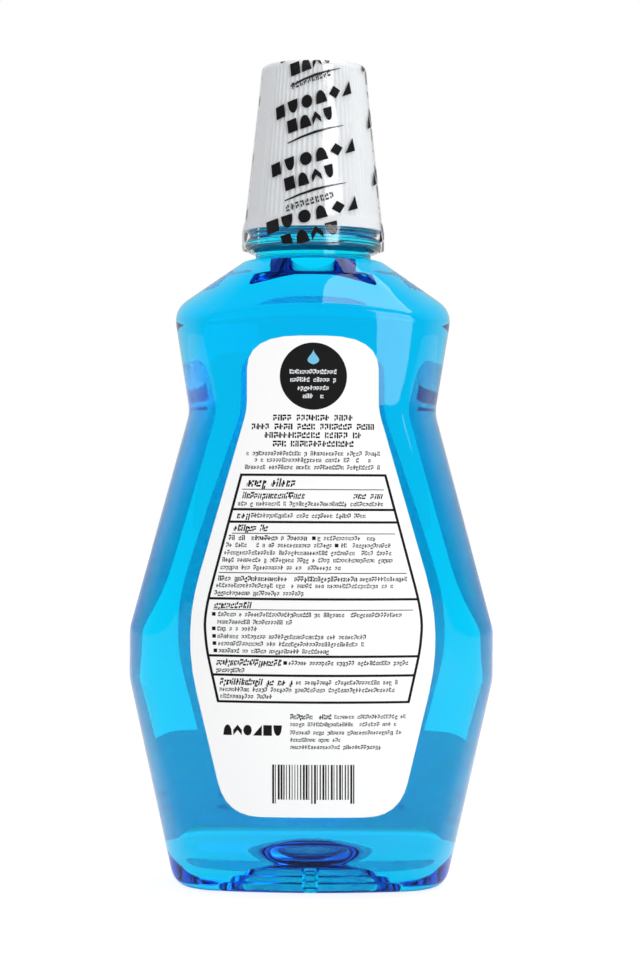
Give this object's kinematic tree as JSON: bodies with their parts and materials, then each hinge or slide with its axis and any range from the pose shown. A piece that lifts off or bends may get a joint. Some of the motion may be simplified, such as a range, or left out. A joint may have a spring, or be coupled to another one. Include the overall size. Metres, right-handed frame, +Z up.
{
  "type": "mouthwash bottle",
  "caption": "Faceted hourglass bottle of blue rinse with a ribbed screw-on dosing cap, a clear shrink neckband with a tear strip, and two shaped labels.",
  "frame": {"origin": "centre of the standing foot, on the surface that it stands on", "axes": "+Z up along the neck's axis, -Y out of the back label, which is the side that the picture shows, +X to the right as the picture shows it"},
  "size_m": [0.115, 0.069, 0.2585],
  "materials": {
    "clear_pet": "glossy, clear",
    "blue_rinse": "clear blue liquid",
    "white_cap": "satin",
    "natural_cup": "milky",
    "grey_gasket": "soft, matte",
    "clear_film": "glossy, clear",
    "white_label": "satin"
  },
  "bodies": {
    "bottle": {"bottle": "clear_pet", "mouthwash": "blue_rinse", "back_label": "white_label", "front_label": "white_label"},
    "seal": {"sealing_ring": "grey_gasket"},
    "cap": {"cap_shell": "white_cap", "dosing_cup": "natural_cup"},
    "neckband": {"neckband_sleeve": "clear_film"},
    "tear_strip": {"neckband_tear_strip": "clear_film"}
  },
  "joints": [
    {"name": "cap_rise", "type": "slide", "parent": "bottle", "child": "seal", "axis": [0, 0, 1], "range_m": [0, 0.02115]},
    {"name": "cap_turn", "type": "hinge", "parent": "seal", "child": "cap", "pos_m": [0, 0, 0.2185], "axis": [0, 0, 1], "range_deg": [0, 1800]},
    {"name": "neckband_lift", "type": "slide", "parent": "cap", "child": "neckband", "axis": [0, 0, 1], "range_m": [0, 0.062]},
    {"name": "strip_pull", "type": "slide", "parent": "neckband", "child": "tear_strip", "axis": [-0.9304, -0.3665, 0], "range_m": [0, 0.04]}
  ],
  "couplings": [
    {"joint": "cap_turn", "follows": "cap_rise", "rad_per_m": 1485.4}
  ]
}
